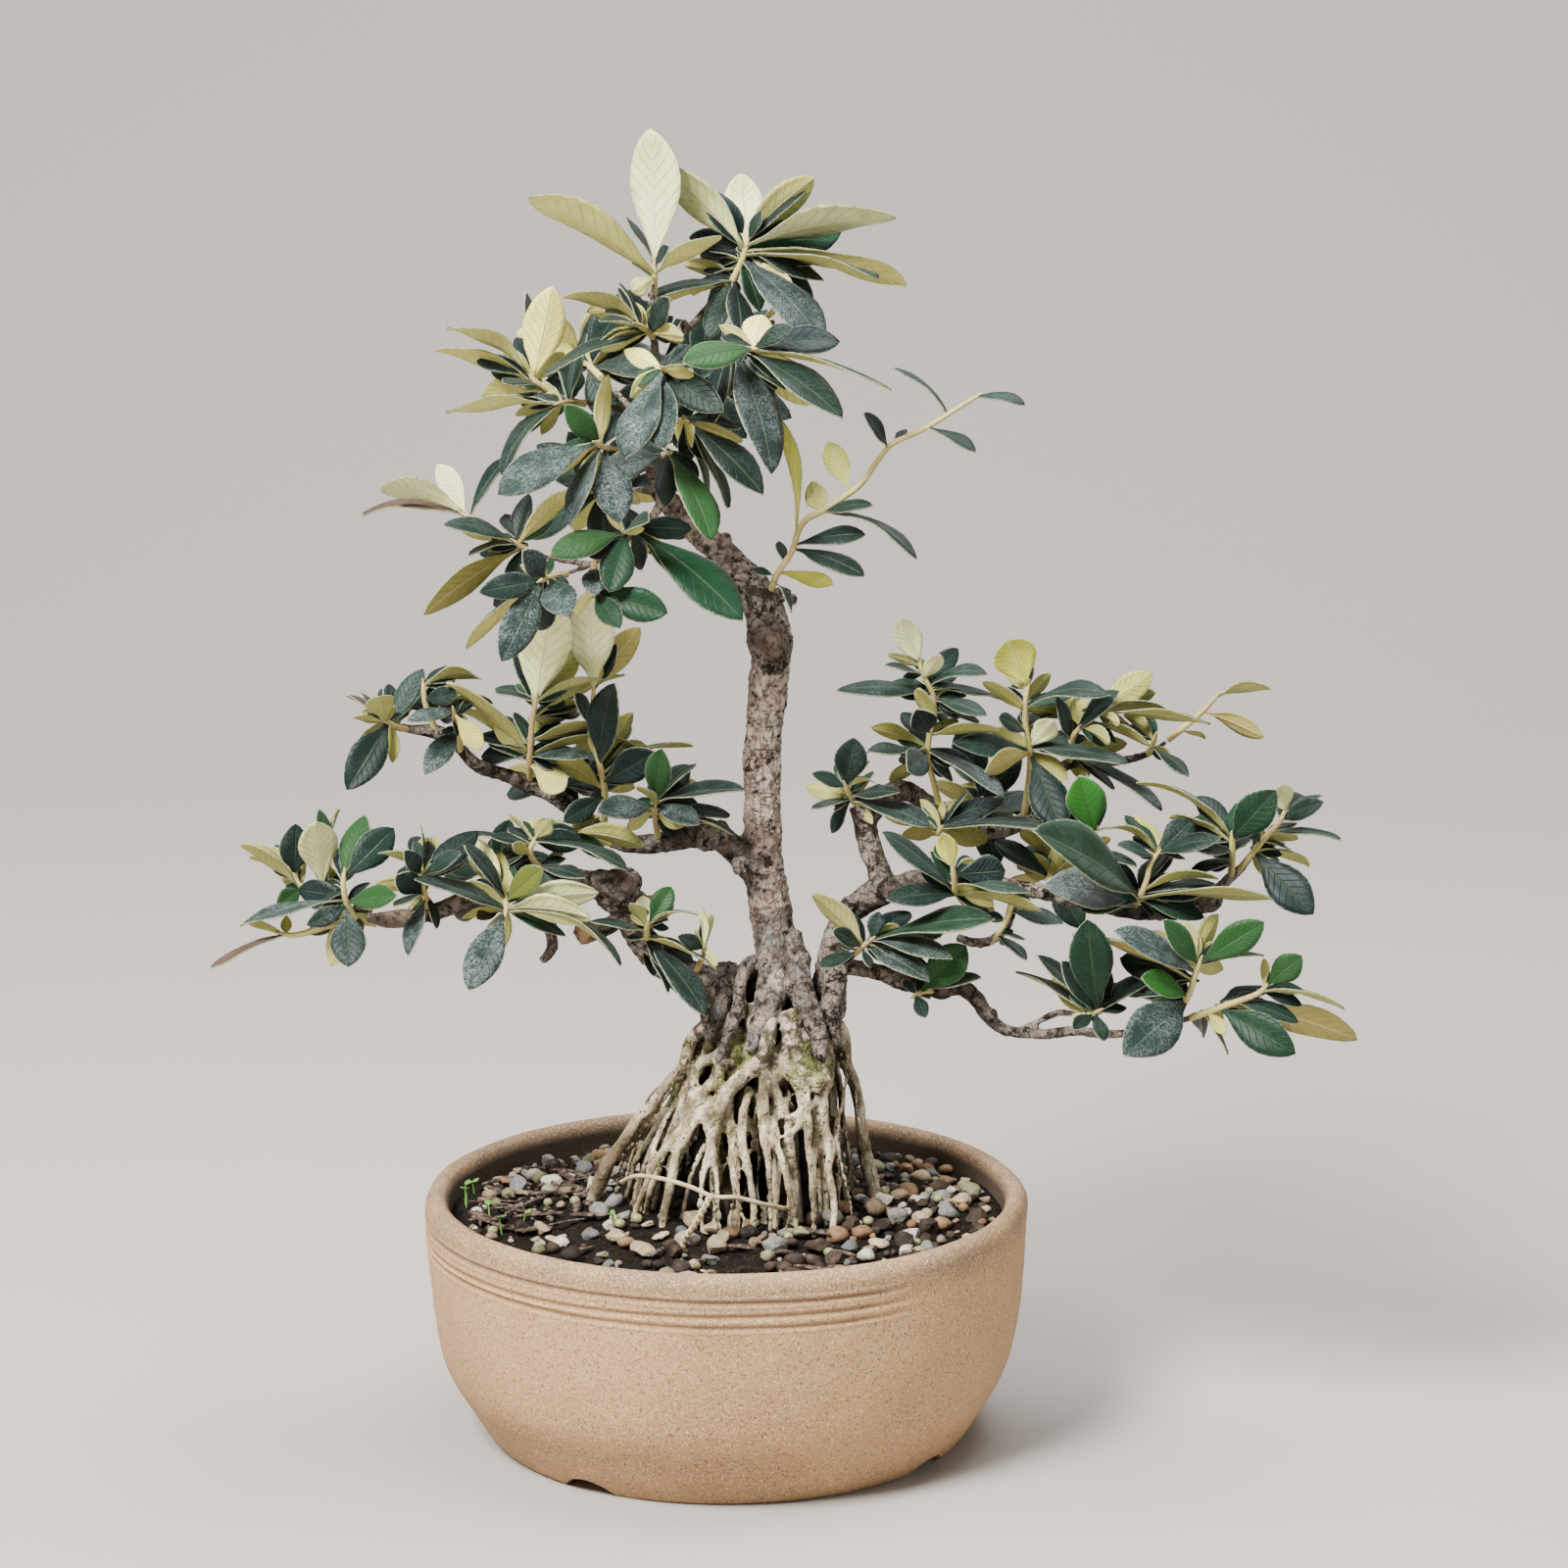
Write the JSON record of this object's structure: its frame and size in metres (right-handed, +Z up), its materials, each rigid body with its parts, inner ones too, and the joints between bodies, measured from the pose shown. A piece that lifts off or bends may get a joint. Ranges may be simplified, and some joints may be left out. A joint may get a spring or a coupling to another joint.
{
  "type": "potted bonsai tree",
  "caption": "Informal upright cotoneaster bonsai with exposed roots and felted oval leaves, standing in a round unglazed stoneware bowl.",
  "frame": {"origin": "under the middle of the whole bonsai's box, on the surface that the pot stands on", "axes": "+Z up; the picture is taken from -Y, with +X to its right"},
  "size_m": [0.3722, 0.2, 0.4341],
  "materials": {
    "stoneware": "unglazed, finely speckled",
    "compost": "dark compost with grit",
    "bark": "flaky bark",
    "foliage": "hairy dark green above, pale felt below",
    "wire": "bare, dulled"
  },
  "bodies": {
    "root": {"pot": "stoneware", "soil": "compost", "spray_crown_apex": "foliage", "spray_crown_back": "foliage", "spray_crown_back_left": "foliage", "spray_crown_back_low": "foliage", "spray_crown_far_left": "foliage", "spray_crown_front": "foliage", "spray_crown_left": "foliage", "spray_crown_left_low": "foliage", "spray_crown_left_tip": "foliage", "spray_crown_low": "foliage", "spray_crown_low_front": "foliage", "spray_crown_low_left": "foliage", "spray_crown_low_mid": "foliage", "spray_crown_mid_left": "foliage", "spray_crown_mid_right": "foliage", "spray_crown_right": "foliage", "spray_crown_top_right": "foliage", "spray_crown_upper_left": "foliage", "spray_left_low_back": "foliage", "spray_left_low_fourth": "foliage", "spray_left_low_inner": "foliage", "spray_left_low_left": "foliage", "spray_left_low_right": "foliage", "spray_left_low_second": "foliage", "spray_left_low_third": "foliage", "spray_left_low_tip": "foliage", "spray_left_low_under": "foliage", "spray_left_mid_back": "foliage", "spray_left_mid_fourth": "foliage", "spray_left_mid_front": "foliage", "spray_left_mid_low": "foliage", "spray_left_mid_second": "foliage", "spray_left_mid_third": "foliage", "spray_left_mid_tip": "foliage", "spray_left_mid_up": "foliage", "spray_right_front": "foliage", "spray_right_knob": "foliage", "spray_right_low_left": "foliage", "spray_right_low_main": "foliage", "spray_right_low_mid": "foliage", "spray_right_low_tip": "foliage", "spray_right_mid_back": "foliage", "spray_right_mid_big": "foliage", "spray_right_mid_bright": "foliage", "spray_right_mid_fork": "foliage", "spray_right_mid_second": "foliage", "spray_right_mid_third": "foliage", "spray_right_mid_tip": "foliage", "spray_right_top_apex": "foliage", "spray_right_top_back": "foliage", "spray_right_top_low": "foliage", "spray_right_top_mid": "foliage", "spray_right_top_right": "foliage", "spray_right_top_tip": "foliage", "spray_right_top_twig": "foliage", "spray_shoot_right": "foliage", "tie_wire": "wire", "tree_wood": "bark"}
  },
  "joints": []
}
